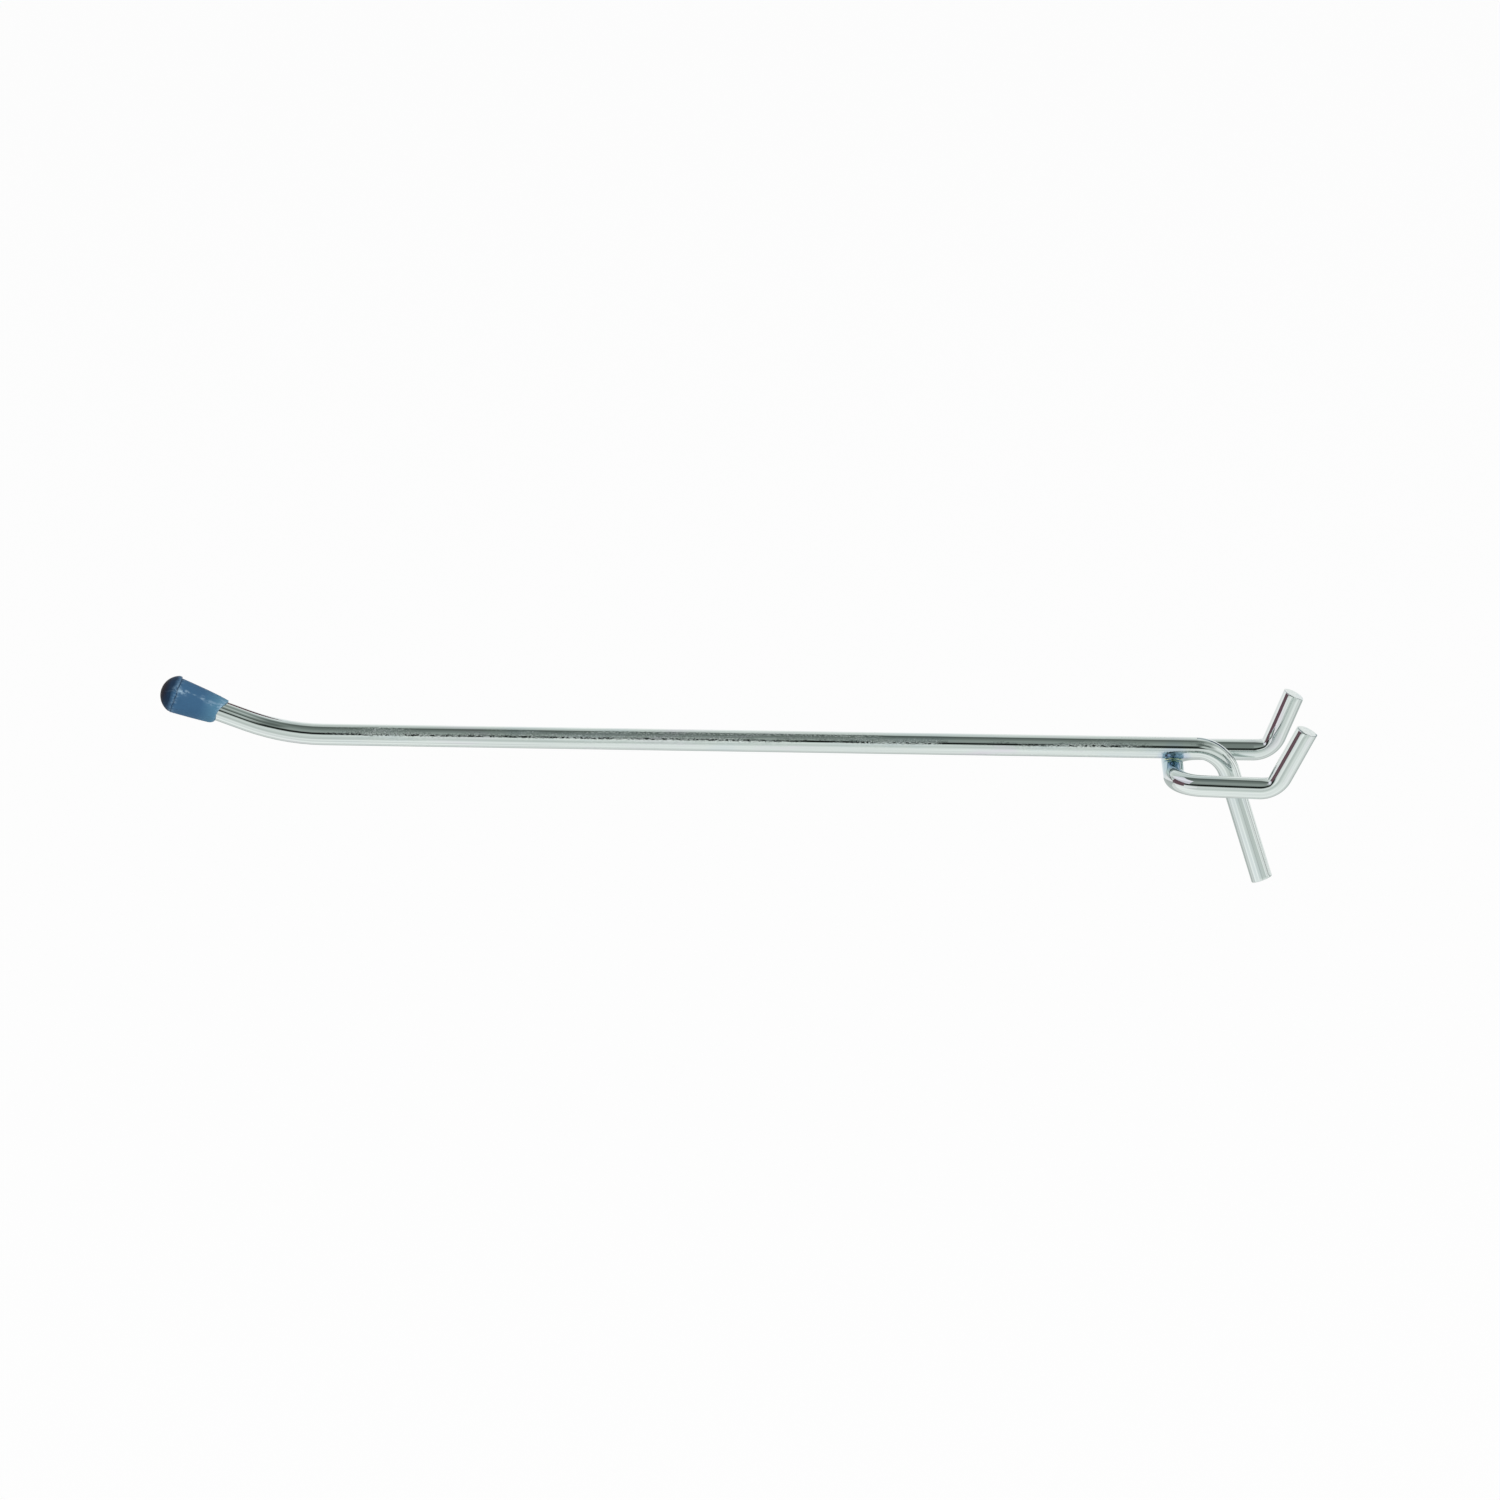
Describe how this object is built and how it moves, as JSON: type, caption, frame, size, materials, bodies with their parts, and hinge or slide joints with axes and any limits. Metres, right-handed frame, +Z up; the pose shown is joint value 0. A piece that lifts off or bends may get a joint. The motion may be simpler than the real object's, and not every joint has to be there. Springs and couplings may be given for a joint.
{
  "type": "pegboard hook",
  "caption": "Straight wire hook for a perforated board, with an upturned capped tip, a cross-welded staple whose legs end in upturned pegs, and a brace below.",
  "frame": {"origin": "midway between the staple's two legs, on the height of their axes, where the pegs turn up behind the board", "axes": "+X along the prong towards the board, +Y across the pegs, +Z up"},
  "size_m": [0.2557, 0.0311, 0.0445],
  "materials": {
    "zinc_plated_wire": "bright zinc plating with fine drawing lines",
    "weld_metal": "plated over, darker and rougher than the wire",
    "blue_plastic": "satin, lightly scuffed"
  },
  "bodies": {
    "root": {"prong_wire": "zinc_plated_wire", "peg_staple": "zinc_plated_wire", "weld_bead": "weld_metal", "tip_cap": "blue_plastic"}
  },
  "joints": []
}
